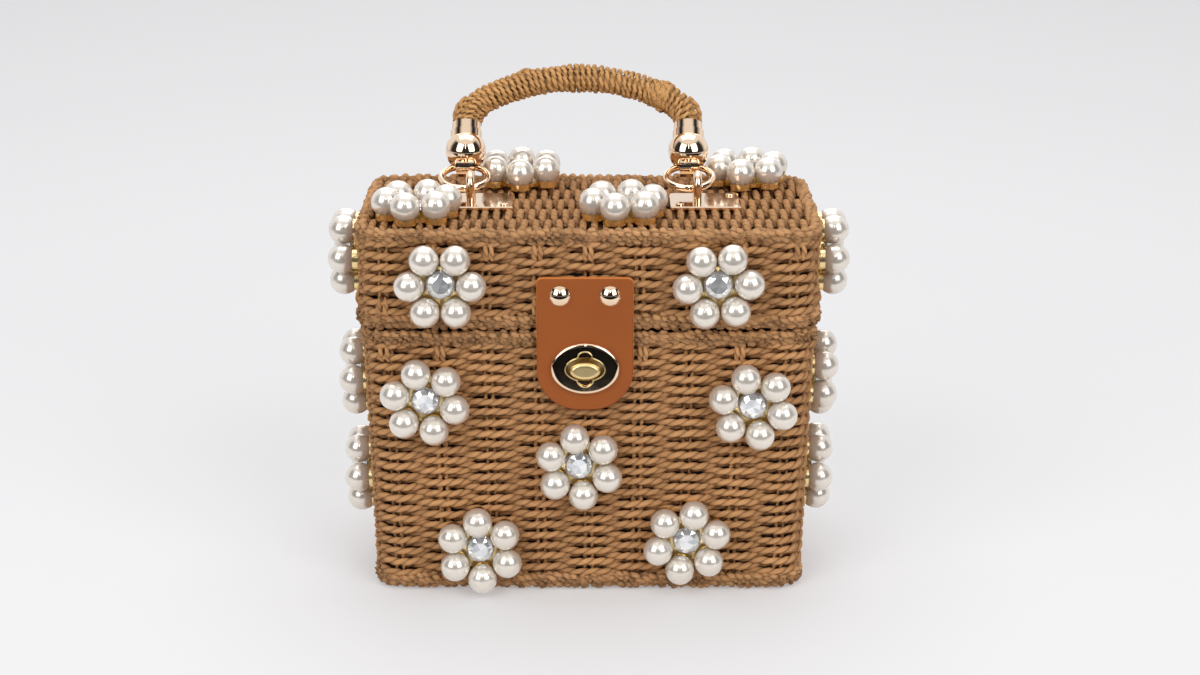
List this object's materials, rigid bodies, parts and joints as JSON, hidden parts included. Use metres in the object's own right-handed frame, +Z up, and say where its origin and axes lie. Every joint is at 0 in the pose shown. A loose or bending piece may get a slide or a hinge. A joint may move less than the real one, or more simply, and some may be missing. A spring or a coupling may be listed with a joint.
{
  "type": "basket box bag",
  "caption": "Woven box bag with a hinged lid, leather turn-lock tab, arched handle on rings and pearl flower trim.",
  "frame": {"origin": "centre of the base, on the surface the bag stands on", "axes": "+X to the right seen from the front, +Y towards the hinged back, +Z up"},
  "size_m": [0.2286, 0.1245, 0.2169],
  "materials": {
    "woven_cord": "matt twisted paper cord",
    "rim_cord": "matt twisted paper cord, wrapped",
    "handle_cord": "matt twisted paper cord, wound tight",
    "lining": "dark plain weave",
    "pearl": "pearlescent, glossy",
    "crystal": "clear faceted",
    "setting_gold": "polished gold tone",
    "tan_leather": "smooth, painted edge",
    "gold_metal": "polished light gold"
  },
  "bodies": {
    "body": {"body_basket": "woven_cord", "body_bottom_rim": "rim_cord", "body_lining": "lining", "body_top_rim": "rim_cord", "crystals_body": "crystal", "flower_setting_body_front_1": "setting_gold", "flower_setting_body_front_2": "setting_gold", "flower_setting_body_front_3": "setting_gold", "flower_setting_body_front_4": "setting_gold", "flower_setting_body_front_5": "setting_gold", "flower_setting_body_left_1": "setting_gold", "flower_setting_body_left_2": "setting_gold", "flower_setting_body_right_1": "setting_gold", "flower_setting_body_right_2": "setting_gold", "hinge_lashings": "rim_cord", "lock_backing_washer": "gold_metal", "lock_base": "gold_metal", "pearls_body_front": "pearl", "pearls_body_left": "pearl", "pearls_body_right": "pearl"},
    "lid": {"crystals_lid": "crystal", "eye_left": "gold_metal", "eye_plate_left": "gold_metal", "eye_plate_right": "gold_metal", "eye_right": "gold_metal", "eye_washers": "gold_metal", "flower_setting_lid_front_1": "setting_gold", "flower_setting_lid_front_2": "setting_gold", "flower_setting_lid_left_1": "setting_gold", "flower_setting_lid_right_1": "setting_gold", "flower_setting_lid_top_1": "setting_gold", "flower_setting_lid_top_2": "setting_gold", "flower_setting_lid_top_3": "setting_gold", "flower_setting_lid_top_4": "setting_gold", "lid_basket": "woven_cord", "lid_bottom_rim": "rim_cord", "lid_lining": "lining", "lid_top_rim": "rim_cord", "pearls_lid_front": "pearl", "pearls_lid_left": "pearl", "pearls_lid_right": "pearl", "pearls_lid_top": "pearl", "plate_screws": "gold_metal", "tab_rivet_caps": "gold_metal", "tab_rivets": "gold_metal", "tab_root": "tan_leather"},
    "tab": {"tab_flap": "tan_leather", "lock_face_plate": "gold_metal", "lock_back_plate": "gold_metal"},
    "button": {"turn_button": "gold_metal", "spindle_retainer": "gold_metal"},
    "ring_left": {"ring_left": "gold_metal"},
    "ring_right": {"ring_right": "gold_metal"},
    "handle": {"handle_grip": "handle_cord", "end_cap_left": "gold_metal", "end_cap_right": "gold_metal"}
  },
  "joints": [
    {"name": "lid_hinge", "type": "hinge", "parent": "body", "child": "lid", "pos_m": [0, 0.0503, 0.1235], "axis": [-1, 0, 0], "range_deg": [0, 105]},
    {"name": "tab_fold", "type": "hinge", "parent": "lid", "child": "tab", "pos_m": [-0.0014, -0.0566, 0.1286], "axis": [-1, 0, 0], "range_deg": [0, 80]},
    {"name": "lock_turn", "type": "hinge", "parent": "body", "child": "button", "pos_m": [-0.0014, -0.06, 0.1044], "axis": [0, 1, 0], "range_deg": [0, 90]},
    {"name": "ring_left_swing", "type": "hinge", "parent": "lid", "child": "ring_left", "pos_m": [-0.0521, -0.0015, 0.1704], "axis": [1, 0, 0], "range_deg": [-3, 115]},
    {"name": "ring_right_swing", "type": "hinge", "parent": "lid", "child": "ring_right", "pos_m": [0.0479, -0.0015, 0.1704], "axis": [1, 0, 0], "range_deg": [-3, 115]},
    {"name": "handle_swing", "type": "hinge", "parent": "ring_left", "child": "handle", "pos_m": [-0.0553, 0.01791, 0.1756], "axis": [-1, 0, 0], "range_deg": [-37, 14]}
  ],
  "couplings": [
    {"joint": "ring_right_swing", "follows": "ring_left_swing", "ratio": 1}
  ]
}
